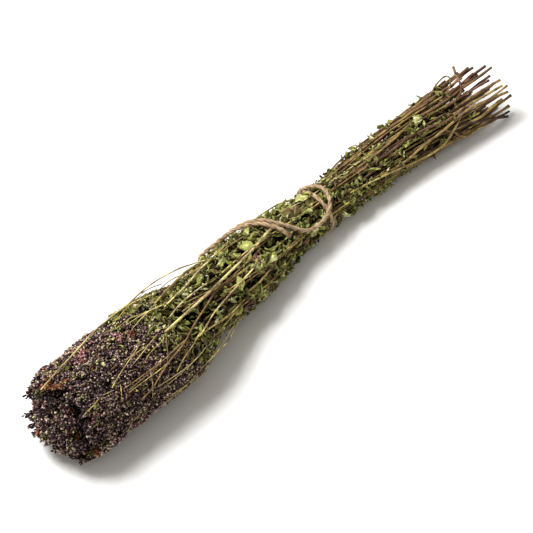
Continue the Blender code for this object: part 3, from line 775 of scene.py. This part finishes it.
# Single stems that lie over the others: tone, radius, and along each one the station, degrees and height
strayStems = {
    "longStraw": (0.88, 0.0008, [(0.208, 92, -0.001), (0.1945, 93, 0.0011), (0.1739, 102, 0.0014),
        (0.1505, 105, 0.0014), (0.1228, 110, 0.0012), (0.0971, 113, 0.0009), (0.086, 114, -0.0004)]),
    "secondStraw": (0.82, 0.00052, [(0.19, 97, -0.0006), (0.1791, 98, 0.0011), (0.1626, 97, 0.0012),
        (0.145, 96, -0.0002)]),
    "thirdStraw": (0.9, 0.0005, [(0.155, 52, -0.001), (0.1414, 64, 0.0012), (0.1209, 82, 0.001),
        (0.1094, 87, 0.0006), (0.098, 90, -0.0006)]),
    "fourthStraw": (0.9, 0.00046, [(0.134, 94, -0.0008), (0.1217, 97, 0.0011), (0.1061, 100, 0.001),
        (0.095, 104, -0.0002)]),
    "brownUpper": (0.55, 0.00078, [(0.15, 27, 0.0004), (0.1345, 46, 0.0012), (0.1128, 71, 0.001),
        (0.096, 78, -0.0006)]),
    "outerStray": (0.86, 0.00044, [(0.156, 52, -0.002), (0.149, 40, 0.0014), (0.1416, 34, 0.0034),
        (0.135, 35, 0.0044), (0.1279, 37, 0.0042), (0.12, 37, 0.0034), (0.1137, 39, 0.0026),
        (0.1009, 46, 0.0014), (0.0917, 50, 0.001), (0.0793, 51, 0.001), (0.0661, 52, 0.0011),
        (0.0557, 56, 0.0011), (0.038, 65, 0.0011), (0.0249, 70, 0.001), (0.006, 77, 0.0004)]),
    "yellowStem": (0.88, 0.00046, [(0.18, 119, -0.0008), (0.1672, 125, 0.0012), (0.1478, 129, 0.0016),
        (0.1316, 132, 0.0014), (0.1201, 134, 0.0012), (0.1072, 140, 0.0006), (0.099, 142, -0.0004)]),
    "mauveStem": (0.34, 0.0005, [(0.13, 115, -0.0006), (0.1181, 121, 0.0011), (0.1042, 127, 0.0012),
        (0.091, 136, 0.0012), (0.0733, 144, 0.001), (0.0594, 155, 0.0009), (0.0498, 159, 0.0002)]),
    "mauveFork": (0.7, 0.00026, [(0.076, 143, 0.0004), (0.068, 143, 0.0009), (0.0566, 142, 0.001),
        (0.0448, 142, 0.0002)]),
    "lowerStray": (0.86, 0.00036, [(0.145, -160, -0.001), (0.1246, -174, 0.0024), (0.1141, 176, 0.003),
        (0.095, 178, 0.0014)]),
    "oliveStem": (0.55, 0.00052, [(0.15, 160, -0.0006), (0.1317, 154, 0.0011), (0.1128, 144, 0.0008),
        (0.102, 142, -0.0004)]),
    "lowerOlive": (0.58, 0.00066, [(0.22, 138, -0.0014), (0.2085, 140, 0.0006), (0.196, 142, 0.0007),
        (0.186, 144, -0.0004), (0.174, 148, 0.0005), (0.164, 151, 0.0006), (0.1536, 153, -0.0008)]),
    "upperOlive": (0.6, 0.0005, [(0.236, 74, -0.0006), (0.2277, 38, 0.0022), (0.2148, 35, 0.0034),
        (0.1991, 36, 0.002), (0.1816, 48, 0.0)]),
    "mauveThin": (0.3, 0.00048, [(0.176, 110, -0.0004), (0.1679, 111, 0.0011), (0.1565, 112, 0.0011),
        (0.135, 113, 0.0)]),
    "headTwigUpper": (0.7, 0.00026, [(0.091, 84, 0.0), (0.084, 81, 0.0009), (0.0767, 76, 0.0009),
        (0.066, 74, 0.0002)]),
    "headTwigMiddle": (0.68, 0.0003, [(0.069, 107, 0.0), (0.0632, 111, 0.0009), (0.0476, 119, 0.001),
        (0.0374, 126, 0.0004)]),
    "headTwigBranch": (0.58, 0.00025, [(0.083, 118, 0.0), (0.0804, 120, 0.0008), (0.0701, 122, 0.0009),
        (0.0623, 127, 0.0002)]),
    "headTwigLower": (0.67, 0.00035, [(0.1062, 138, 0.0004), (0.0946, 145, 0.001), (0.0863, 150, 0.001),
        (0.0786, 159, 0.0004)]),
    "headTwigAcross": (0.7, 0.00025, [(0.064, 136, 0.0), (0.0629, 139, 0.0008), (0.0602, 152, 0.0009),
        (0.0577, 167, 0.0002)]),
    "headTwigBrown": (0.3, 0.00034, [(0.085, 118, 0.0), (0.0812, 126, 0.0009), (0.078, 136, 0.0009),
        (0.0744, 145, 0.0002)]),
    "headTwigShort": (0.7, 0.00026, [(0.043, 129, 0.0), (0.0415, 133, 0.0009), (0.0395, 139, 0.0009),
        (0.0376, 145, 0.0002)]),
    "headTwigEnd": (0.65, 0.00026, [(0.026, 127, 0.0), (0.0227, 128, 0.001), (0.018, 129, 0.001),
        (0.0143, 130, 0.0002)]),
    "longBrown": (0.46, 0.00086, [(0.3942, 153, 0.0012), (0.3771, 143, 0.001), (0.3629, 136, 0.001),
        (0.3505, 140, 0.0011), (0.3358, 146, 0.0011), (0.3208, 150, 0.0012), (0.305, 158, 0.001),
        (0.285, 154, -0.0006)]),
    "longYellow": (0.74, 0.00062, [(0.356, 140, -0.0004), (0.346, 158, 0.001), (0.3385, 173, 0.0012),
        (0.3298, 180, 0.0014), (0.3192, 179, 0.0012), (0.3047, 169, 0.0012), (0.2909, 159, 0.0012),
        (0.2761, 148, 0.0012), (0.26, 138, 0.0)]),
    "topBrown": (0.4, 0.00082, [(0.3955, 96, 0.001), (0.3808, 96, 0.0009), (0.3676, 95, 0.0008),
        (0.3507, 96, 0.0008), (0.3287, 92, 0.0007), (0.3098, 99, 0.0006), (0.2918, 102, 0.0006),
        (0.2754, 99, 0.0004), (0.258, 95, -0.0008)]),
    "topPurple": (0.18, 0.0008, [(0.3833, 82, 0.001), (0.3737, 85, 0.0008), (0.3601, 89, 0.0006),
        (0.34, 94, -0.0006)]),
    "middlePurple": (0.22, 0.00076, [(0.37, 128, -0.0004), (0.3443, 132, 0.0008), (0.3313, 123, 0.0009),
        (0.3145, 116, 0.0008), (0.2974, 118, 0.0006), (0.2836, 112, 0.0006), (0.2674, 98, -0.0006)]),
    "edgeBrown": (0.36, 0.0007, [(0.3529, 59, 0.0006), (0.3363, 60, 0.0007), (0.3209, 51, 0.0006),
        (0.3052, 44, 0.0008), (0.2904, 36, 0.0012), (0.2755, 33, 0.0016), (0.264, 34, 0.0004)]),
    "hookedTop": (0.32, 0.00055, [(0.345, 62, -0.0004), (0.3528, 57, 0.0008), (0.3653, 36, 0.002),
        (0.3737, 34, 0.003), (0.3716, 56, 0.0022), (0.3643, 76, 0.001), (0.359, 78, -0.0006)]),
    "snappedStub": (0.27, 0.0008, [(0.3844, 31, 0.0044), (0.3767, 58, 0.003), (0.3693, 90, 0.0016),
        (0.3638, 103, 0.0008), (0.3546, 106, -0.0006)]),
    "hookedLow": (0.4, 0.00066, [(0.3654, -175, 0.002), (0.3574, -166, 0.002), (0.35, -180, 0.001),
        (0.3466, 165, 0.001), (0.34, 146, 0.0)]),
    "cutUpper": (0.2, 0.0008, [(0.3869, 113, 0.0008), (0.378, 110, 0.0006), (0.365, 108, 0.0002),
        (0.35, 106, -0.001)]),
    "cutMiddle": (0.38, 0.00084, [(0.3934, 125, 0.001), (0.383, 122, 0.0008), (0.37, 120, 0.0004),
        (0.356, 119, -0.001)]),
    "cutLower": (0.54, 0.0008, [(0.3923, 136, 0.001), (0.38, 133, 0.0008), (0.366, 130, 0.0004),
        (0.35, 128, -0.001)]),
    "oliveCut": (0.5, 0.00084, [(0.3882, 159, 0.001), (0.3769, 161, 0.001), (0.3682, 166, 0.0008),
        (0.3524, 160, 0.0004), (0.335, 152, -0.001)]),
    "darkLow": (0.04, 0.0009, [(0.393, -151, 0.0052), (0.387, -153, 0.0026), (0.3703, 179, 0.001),
        (0.3568, 161, 0.0009), (0.3482, 156, 0.0004), (0.3268, 148, -0.001)]),
    "darkFork": (0.08, 0.00072, [(0.3956, -153, 0.003), (0.3891, -156, 0.0024), (0.378, -168, 0.0014),
        (0.369, -178, 0.0002)]),
}

# Leaves that stand out on the photograph: station, degrees, height above the bundle, length, tone
markedLeaves = [
    (0.3328, 99, 0.001, 0.0076, 0.84), (0.3345, 94, 0.0012, 0.0069, 0.88), (0.33, 102, 0.0014, 0.0068, 0.9),
    (0.3285, 97, 0.0012, 0.0064, 0.82), (0.332, 106, 0.0012, 0.0062, 0.86),
    (0.3438, 110, 0.0006, 0.006, 0.12), (0.3426, 128, 0.0004, 0.0062, 0.66),
    (0.341, 132, 0.0004, 0.0052, 0.48), (0.3694, 112, 0.0006, 0.005, 0.8),
    (0.3182, 125, 0.0004, 0.0055, 0.62), (0.3186, 101, 0.0004, 0.0052, 0.5),
    (0.308, 128, 0.0005, 0.006, 0.7), (0.306, 132, 0.0004, 0.0055, 0.55), (0.325, 150, 0.0005, 0.0058, 0.6),
    (0.295, 112, 0.0006, 0.0066, 0.74), (0.1782, 100, 0.0006, 0.011, 0.72),
    (0.18, 125, 0.001, 0.0125, 0.62), (0.176, 130, 0.0008, 0.0105, 0.78),
    (0.1867, 132, 0.0008, 0.011, 0.86), (0.1538, 119, 0.0006, 0.0095, 0.7),
    (0.147, 168, 0.0008, 0.01, 0.62), (0.142, 176, 0.0008, 0.01, 0.66), (0.086, 116, 0.0008, 0.008, 0.88),
    (0.228, 60, 0.0008, 0.0095, 0.78), (0.223, 66, 0.0008, 0.009, 0.7), (0.22, 86, 0.0006, 0.009, 0.1),
    (0.223, 92, 0.0005, 0.0075, 0.16), (0.218, 94, 0.0006, 0.008, 0.06), (0.212, 84, 0.0006, 0.007, 0.92),
    (0.074, 132, 0.001, 0.005, 0.5), (0.06, 100, 0.001, 0.0045, 0.6), (0.025, 131, 0.001, 0.0048, 0.62),
    (0.018, 133, 0.0008, 0.0045, 0.72), (0.1428, 34, 0.0022, 0.006, 0.5), (0.144, 38, 0.0014, 0.006, 0.6),
    (0.1555, 31, 0.0022, 0.0062, 0.7), (0.154, 36, 0.0014, 0.006, 0.56), (0.12, -178, 0.002, 0.0062, 0.4),
    (0.118, 178, 0.0012, 0.006, 0.46),
]
# Clumps of buds that stand out: station, degrees, tone
markedBuds = [
    (0.17, 119, 0.98), (0.152, -175, 0.3), (0.111, 62, 0.45), (0.0985, -158, 0.2), (0.1, -164, 0.3),
    (0.118, 38, 0.4), (0.102, 46, 0.3),
]


def stemPath(sprig, draw, start, end):  # a stem that bends a little at each of its nodes
    step, nodeStep, kinks = leafySprig["pathStep"], leafySprig["nodeStep"], leafySprig["kinks"]
    count = max(8, 8 * round((end - start) / step / 8))
    path, radii, nodes = [], [], []
    nodeShift = draw.uniform(0, nodeStep)
    shifts = [Vector((0, draw.uniform(-1, 1), draw.uniform(-1, 1))) * leafySprig["kink"]
              for _ in range(kinks)]
    for number in range(count + 1):
        station = start + (end - start) * number / count
        walk = (station + nodeShift) / nodeStep
        share = walk - int(walk)
        shift = shifts[int(walk) % kinks].lerp(shifts[(int(walk) + 1) % kinks], share)
        path.append(stemCentre(sprig, station) + shift)
        half = stemHalfSide(sprig, max(station, sprig["base"])) * leafySprig["slimness"]
        if station < sprig["base"]:
            half *= max(0.35, 1 - (sprig["base"] - station) / 0.07)
        if share < step / nodeStep:
            half *= leafySprig["nodeSwell"]
            nodes.append(number)
        radii.append(half)
    return path, radii, nodes


def leafTone(draw, station):
    towardCut = smoothStep((station - 0.26) / 0.08)
    if draw.random() < 0.18 + 0.22 * towardCut:
        return draw.uniform(0.0, 0.22)
    return min(1.0, max(0.16, draw.gauss(0.56 - 0.12 * towardCut, 0.24)))


def addLeaf(heap, leaves, draw, station, angle, reach, length, spread=1.0, tone=None):
    place = inBundle(station, reach, angle)
    out = outwardAt(angle)
    sideways = Vector((1, 0, 0)).cross(out)
    yaw = draw.gauss(0, leafySprig["leafLean"]) * spread
    pitch = draw.uniform(-0.3, 0.6) * spread
    along = Vector((-cos(yaw), 0, 0)) + sideways * sin(yaw)
    along = (along * cos(pitch) + out * sin(pitch)).normalized()
    if draw.random() < 0.25:
        along.x = -along.x
    matrix = Matrix.Translation(place) @ facing(along, out, draw.gauss(0, 1.2)) @ Matrix.Scale(length, 4)
    if tone is None:
        tone = leafTone(draw, station)
    heap.addTemplate(draw.choice(leaves), matrix, tone, asLeaf)


def addShadeCore(heap, sprig, start, end, out, widths, tone, finish, sides):  # a dark tube inside the bundle: painted shade standing for the shadowed stems and crumbs between them
    path, radii = [], []
    last = len(widths) - 1
    for number, width in enumerate(widths):
        station = start + (end - start) * number / last
        path.append(inCell(sprig, station, 0.0, out))
        halfCell = min(sprig["reach"] * sprig["halfAngle"], sprig["halfReach"])
        radii.append(bundleRadius(station) * halfCell * width)
    heap.addTube(path, radii, tone, finish, sides)


def leafLength(draw):
    if draw.random() < leafySprig["bigShare"]:
        return draw.uniform(*leafySprig["bigLeaf"])
    return draw.uniform(*leafySprig["leafLength"])


def addLeaves(heap, leaves, sprig, draw):
    half = tau / rings[sprig["ring"]]["sprigs"] / 2
    start = sprig["base"] - 0.012
    count = leafySprig["leaves" if sprig["outermost"] else "innerLeaves"]
    for _ in range(count):
        station = start + (leafySprig["lastLeaf"] - start) * draw.random() ** 1.2
        if draw.random() < 0.36 * smoothStep((station - 0.300) / 0.05):
            continue
        angle = cellAngle(sprig, station) + draw.uniform(-1.1, 1.1) * half
        if sprig["outermost"]:
            reach = 1.02 - 0.32 * draw.random() ** 1.4
            if draw.random() < 0.2:
                reach += 0.14 * draw.random()
        else:
            reach = sprig["reach"] + draw.uniform(-1, 1) * sprig["halfReach"] * 1.2
        towardCut = smoothStep((station - 0.255) / 0.05)
        reach -= 0.05 * towardCut
        if abs(station - bundle["tieStation"]) < leafySprig["tieGap"]:
            reach = min(reach, 0.80)
        addLeaf(heap, leaves, draw, station, angle, reach, leafLength(draw) * (1 - 0.20 * towardCut))


def runsOver(sprig, sprigs, station, degrees):  # whether this outer sprig's cell is the nearest one
    def away(other):
        return abs(wrapped(cellAngle(other, station) - radians(degrees)))

    return min((other for other in sprigs if other["outermost"]), key=away) is sprig


def addStrays(heap, sprig, sprigs, draw):
    count = 33
    for tone, radius, spots in strayStems.values():
        if not runsOver(sprig, sprigs, *spots[len(spots) // 2][:2]):
            continue
        path = smoothRoute([onBundle(*spot) for spot in spots], count)
        nodes = range(draw.randint(2, 5), count, 8)
        radii = [radius * (1.2 if number in nodes else 1.0) * (1.12 - 0.24 * number / (count - 1))
                 for number in range(count)]
        heap.addTube(path, radii, tone, asStem, sides=8, nodes=nodes, ridge=0.06)


def addCompanion(heap, sprig, draw, start, out):  # a thinner stem that shares the sprig's cell
    across = draw.choice([-1, 1]) * draw.uniform(0.30, 0.75)
    end = draw.uniform(0.340, 0.396)
    radius = draw.uniform(*leafySprig["companionRadius"])
    sway = wave(draw, 0.50)
    path, radii = [], []
    count = 40
    for number in range(count + 1):
        station = start + (end - start) * number / count
        rise = out * smoothStep(number / 8) if out > 0 else out
        spot = inCell(sprig, station, across + sway(station), rise + sway(station + 0.1) * 0.4)
        spot.z = max(spot.z, radius * 1.3)
        path.append(spot)
    nodes = range(draw.randint(2, 5), count + 1, 6)
    for number in range(count + 1):
        radii.append(radius * (0.66 + 0.38 * number / count) * (1.18 if number in nodes else 1.0))
    tone = draw.choice(stemTones["companion"])
    heap.addTube(path, radii, tone, asStem, sides=6, nodes=nodes, ridge=0.08)


def anyTurn(draw):
    return Euler((draw.uniform(0, tau), draw.uniform(0, tau), 0)).to_matrix().to_4x4()


def addMarked(heap, templates, sprig, sprigs, draw):
    for station, degrees, lift, length, tone in markedLeaves:
        if runsOver(sprig, sprigs, station, degrees):
            leaves = templates["broadLeaf" if length > 0.007 else "leaf"]
            addLeaf(heap, leaves, draw, station, radians(degrees), 1 + lift / bundleRadius(station), length,
                    spread=0.6, tone=tone)
    for station, degrees, tone in markedBuds:
        if runsOver(sprig, sprigs, station, degrees):
            for _ in range(6):
                turn = anyTurn(draw)
                nearby, turned = station + draw.uniform(-0.0025, 0.0025), degrees + draw.uniform(-8, 8)
                matrix = Matrix.Translation(onBundle(nearby, turned, 0.0006)) @ turn
                heap.addTemplate(draw.choice(templates["spikelet"]), matrix, tone, asBud)


def addBranch(heap, sprig, draw):  # a fine side stem that runs over the leaves towards the flowers
    start = draw.uniform(*leafySprig["branchStart"])
    end = max(0.105, start - draw.uniform(*leafySprig["branchLength"]))
    drift = draw.uniform(-1.6, 1.6) * sprig["halfAngle"]
    wander = wave(draw, 0.12)
    path, radii = [], []
    for number in range(25):
        share = number / 24
        station = start + (end - start) * share
        angle = cellAngle(sprig, station) + sprig["sideways"](start) * sprig["halfAngle"] + drift * share
        reach = sprig["reach"] + (draw.uniform(1.0, 1.02) - sprig["reach"]) * smoothStep(share * 3)
        reach -= 0.10 * smoothStep((share - 0.80) / 0.20)
        path.append(inBundle(station, reach + wander(station) * 0.15, angle + wander(station * 1.3) * 0.3))
        radii.append(0.00052 - 0.00020 * share)
    heap.addTube(path, radii, draw.choice(stemTones["branch"]), asStem, sides=6, ridge=0.06)


def addTuft(heap, templates, sprig, draw):  # small crowded leaves, or buds, at a node
    station = draw.uniform(sprig["base"], 0.330)
    angle = cellAngle(sprig, station) + draw.uniform(-0.8, 0.8) * sprig["halfAngle"]
    buds = draw.random() < (0.35 if station < 0.13 else 0.10)
    if abs(station - bundle["tieStation"]) < 0.012:
        return
    for _ in range(draw.randint(5, 9)):
        nearby = station + draw.uniform(-0.004, 0.004)
        turned = angle + draw.uniform(-0.14, 0.14)
        reach = draw.uniform(0.94, 1.10)
        if buds:
            matrix = Matrix.Translation(inBundle(nearby, reach, turned)) @ anyTurn(draw)
            heap.addTemplate(draw.choice(templates["spikelet"]), matrix, draw.uniform(0.2, 0.6), asBud)
        else:
            length = draw.uniform(*leafySprig["tuftLeaf"])
            addLeaf(heap, templates["leaf"], draw, nearby, turned, reach, length, spread=1.8)


def makeLeafyStem(sprig, sprigs, finishes, templates):
    draw = random.Random(7000 + sprig["seed"])
    heap = Heap()
    stemTone = draw.uniform(0.06, 0.60)
    path, radii, nodes = stemPath(sprig, draw, sprig["base"] - 0.02, sprig["cut"])
    heap.addTube(path, radii, stemTone, asStem, sides=8, nodes=nodes, ridge=0.10)
    addLeaves(heap, templates["leaf"], sprig, draw)
    if sprig["ring"] > 0:
        addCompanion(heap, sprig, draw, 0.115, draw.uniform(-0.5, 0.1))
    if sprig["outermost"]:
        for _ in range(leafySprig["companions"]):
            addCompanion(heap, sprig, draw, draw.uniform(0.235, 0.310), draw.uniform(0.50, 0.95))
        addStrays(heap, sprig, sprigs, draw)
        addMarked(heap, templates, sprig, sprigs, draw)
        for _ in range(leafySprig["branches"]):
            addBranch(heap, sprig, draw)
        for _ in range(leafySprig["tufts"]):
            addTuft(heap, templates, sprig, draw)
    else:
        # painted shade: a near-black tube through an inner sprig's leafy part darkens the gaps between
        # leaves
        widths = [0.62 + 0.12 * sin(number * 1.9 + sprig["angle"]) for number in range(33)]
        widths[0] = widths[-1] = 0.35
        addShadeCore(heap, sprig, sprig["base"] + 0.004, 0.304, 0.0, widths, tone=0.02, finish=asLeaf,
                   sides=7)
    piece = heap.build(f"leafyStem_{sprig['name']}", finishes)
    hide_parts(f"leafy_stem_{sprig['name']}")
    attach(piece, "root")


# Flower heads
headPatches = [(0.0140, 78, 0.009, 0.90), (0.0680, 80, 0.006, 0.98), (0.0400, 68, 0.005, 0.98)]
headShape = {"clusters": 76, "innerClusters": 22, "spikeletsEach": (6, 9), "clusterRadius": 0.0032,
             "spikeletScale": (0.65, 1.40), "stalkRadii": (0.00036, 0.00030, 0.00024),
             "leafStart": 0.092, "leafSlant": 0.016, "strayClusters": 0.12, "looseLeaves": 12,
             "innerLooseLeaves": 5, "coreShare": 0.64, "twigRadius": 0.00034, "twigTaper": 0.00014}
clumpTones = [0.20, 0.40, 0.50, 0.50, 0.55, 0.75, 0.90, 0.97]


def budTone(draw, clump, middle):
    pick = draw.random()
    if pick < 0.74:
        return min(0.60, max(0.0, draw.gauss(middle, 0.11)))
    if pick < 0.83:
        return draw.uniform(0.62, 0.82)
    return clump


def leafStart(angle):  # where the flowers give way to leaves on the bundle's surface
    return headShape["leafStart"] - headShape["leafSlant"] * cos(angle - radians(50))


def addCluster(heap, spikelets, sprig, draw, station, across, out):
    angle = cellAngle(sprig, station) + across * sprig["halfAngle"]
    outward = outwardAt(angle)
    centre = inCell(sprig, station, across, out) + outward * lowerCorner(angle)
    lean = (outward * draw.uniform(0.4, 1.1) + Vector((-draw.uniform(0.3, 1.1), 0, 0))
            + Vector((0, draw.gauss(0, 0.3), draw.gauss(0, 0.3)))).normalized()
    if not sprig["outermost"]:
        lean = (Vector((-1, 0, 0)) + Vector((0, draw.gauss(0, 0.35), draw.gauss(0, 0.35)))).normalized()
    root = stemCentre(sprig, min(station + draw.uniform(0.010, 0.018), sprig["base"]))
    stalk = [root, root.lerp(centre, 0.55) + lean * 0.001, centre]
    heap.addTube(stalk, headShape["stalkRadii"], draw.uniform(0.35, 0.95), asStem, sides=3)
    clump = draw.choice(clumpTones)
    middle = draw.uniform(0.10, 0.50)
    patch = [tone for spot, degrees, size, tone in headPatches
             if (centre - inBundle(spot, 0.95, radians(degrees))).length < size]
    for _ in range(draw.randint(*headShape["spikeletsEach"])):
        spread = Vector((draw.gauss(0, 1), draw.gauss(0, 1), draw.gauss(0, 1)))
        spread = spread.normalized() * headShape["clusterRadius"] * draw.random() ** 0.5
        sway = Vector((0, draw.gauss(0, 0.3), draw.gauss(0, 0.3)))
        axis = (lean * 0.9 + spread * 260 + sway).normalized()
        turn = axis.to_track_quat("Z", "Y").to_matrix().to_4x4()
        matrix = (Matrix.Translation(centre + spread * 0.8) @ turn
                  @ Matrix.Rotation(draw.uniform(0, tau), 4, "Z")
                  @ Matrix.Scale(draw.uniform(*headShape["spikeletScale"]), 4))
        if patch and draw.random() < 0.65:
            tone = patch[0] + draw.uniform(-0.03, 0.02)
        else:
            tone = budTone(draw, clump, middle)
        heap.addTemplate(draw.choice(spikelets), matrix, tone, asBud)


def addTwig(heap, sprig, draw):  # a fine forked strand over the flowers
    start = draw.uniform(sprig["base"] - 0.04, sprig["base"] + 0.01)
    length = draw.uniform(0.025, 0.050)
    drift = draw.uniform(-2.0, 2.0) * sprig["halfAngle"]
    angle = cellAngle(sprig, start)
    tone = draw.uniform(0.25, 1.0)
    for first, swing in ((0, drift), (4, drift * -0.6)):
        strand, radii = [], []
        for step in range(first, 11):
            share = step / 10
            turned = angle + drift * min(share, 0.4) + swing * max(0.0, share - 0.4)
            strand.append(inBundle(start - length * share, 0.985 + 0.04 * sin(pi * share), turned))
            radii.append(headShape["twigRadius"] - headShape["twigTaper"] * share)
        heap.addTube(strand, radii, tone, asStem, sides=5)


def makeFlowerHead(sprig, finishes, templates):
    draw = random.Random(9000 + sprig["seed"])
    outermost = sprig["outermost"]
    leaves = templates["leaf"]
    heap = Heap()
    # painted shade: a near-black tube through each head darkens the gaps between bud clusters
    widths = [headShape["coreShare"]] * 17
    widths[0] = widths[-1] = headShape["coreShare"] * 0.6
    addShadeCore(heap, sprig, sprig["tip"] + 0.006, sprig["base"], -0.25 if outermost else 0.0, widths,
               tone=0.0, finish=asBud, sides=8)
    path, radii, nodes = stemPath(sprig, draw, sprig["tip"] + 0.004, sprig["base"] - 0.001)
    heap.addTube(path, radii, draw.uniform(0.3, 0.9), asStem, sides=6, nodes=nodes, ridge=0.08)
    count = headShape["clusters" if outermost else "innerClusters"]
    for number in range(count):
        share = ((number + 1.5 * draw.random()) / count % 1) ** (1.05 if outermost else 2.2)
        station = sprig["tip"] + (sprig["base"] - sprig["tip"]) * share
        out = draw.uniform(-0.4, 0.95) if outermost else draw.uniform(-0.9, 0.9)
        across = 2.16 * ((0.618 * number + 0.4 * draw.random()) % 1) - 1.08
        angle = cellAngle(sprig, station) + across * sprig["halfAngle"]
        if station > leafStart(angle) + draw.gauss(0, 0.006) and draw.random() > headShape["strayClusters"]:
            for _ in range(4):
                nearby, turned = station + draw.uniform(-0.004, 0.004), angle + draw.uniform(-0.1, 0.1)
                reach = sprig["reach"] + draw.uniform(-0.04, 0.18)
                addLeaf(heap, leaves, draw, nearby, turned, reach, leafLength(draw), spread=1.2)
        else:
            addCluster(heap, templates["spikelet"], sprig, draw, station, across, out)
    for _ in range(headShape["looseLeaves" if outermost else "innerLooseLeaves"]):
        station = draw.uniform(sprig["tip"] + 0.002, sprig["base"])
        angle = cellAngle(sprig, station) + draw.uniform(-1, 1) * sprig["halfAngle"]
        addLeaf(heap, leaves, draw, station, angle, sprig["reach"] + draw.uniform(0.0, 0.18),
                draw.uniform(*leafySprig["tuftLeaf"]), spread=1.5, tone=draw.uniform(0.3, 0.9))
    if outermost:
        addTwig(heap, sprig, draw)
    piece = heap.build(f"flowerHead_{sprig['name']}", finishes)
    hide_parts(f"flower_head_{sprig['name']}")
    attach(piece, "root")


# Floor and lights
studio = {"floorSize": 6.0, "floorColour": (0.93, 0.93, 0.93), "floorRoughness": 0.9,
          "keyPlace": (-0.362, 0.600, 1.209), "keyPower": 29, "keySize": 0.64,
          "skyColour": (1.0, 0.965, 0.89), "skyStrength": 0.45}


def makeStudio():
    mesh = bmesh.new()
    bmesh.ops.create_grid(mesh, x_segments=1, y_segments=1, size=studio["floorSize"] / 2)
    data = bpy.data.meshes.new("floor")
    mesh.to_mesh(data)
    mesh.free()
    floor = bpy.data.objects.new("floor", data)
    bpy.context.scene.collection.objects.link(floor)
    paint = Finish("floorPaint")
    paint.shader.inputs["Base Color"].default_value = (*studio["floorColour"], 1)
    paint.shader.inputs["Roughness"].default_value = studio["floorRoughness"]
    data.materials.append(paint.material)
    light = bpy.data.lights.new("key", "AREA")
    light.energy = studio["keyPower"]
    light.size = studio["keySize"]
    lamp = bpy.data.objects.new("key", light)
    lamp.location = studio["keyPlace"]
    lamp.rotation_euler = Vector(studio["keyPlace"]).to_track_quat("Z", "Y").to_euler()
    bpy.context.scene.collection.objects.link(lamp)
    world = bpy.data.worlds.new("studio")
    world.use_nodes = True
    world.node_tree.nodes["Background"].inputs["Color"].default_value = (*studio["skyColour"], 1)
    world.node_tree.nodes["Background"].inputs["Strength"].default_value = studio["skyStrength"]
    bpy.context.scene.world = world
    bpy.context.scene.view_settings.view_transform = "Standard"


makeCamera()
twineFinish = makeTwineFinish()
makeLooseEnd(twineFinish)
makeTie(twineFinish)
print("twine made")
finishes = [makeStemFinish(), makeLeafFinish(), makeBudFinish()]
templates = {
    "leaf": [makeLeafTemplate(seed) for seed in range(leafShape["curled"])],
    "broadLeaf": [makeLeafTemplate(100 + seed, leafShape["broadCurl"])
                  for seed in range(leafShape["broad"])],
    "spikelet": [makeSpikeletTemplate(seed) for seed in range(spikeletShape["kinds"])],
}
print("templates made")
sprigs = planSprigs()
for sprig in sprigs:
    makeLeafyStem(sprig, sprigs, finishes, templates)
    makeFlowerHead(sprig, finishes, templates)
print("sprigs made")
makeStudio()
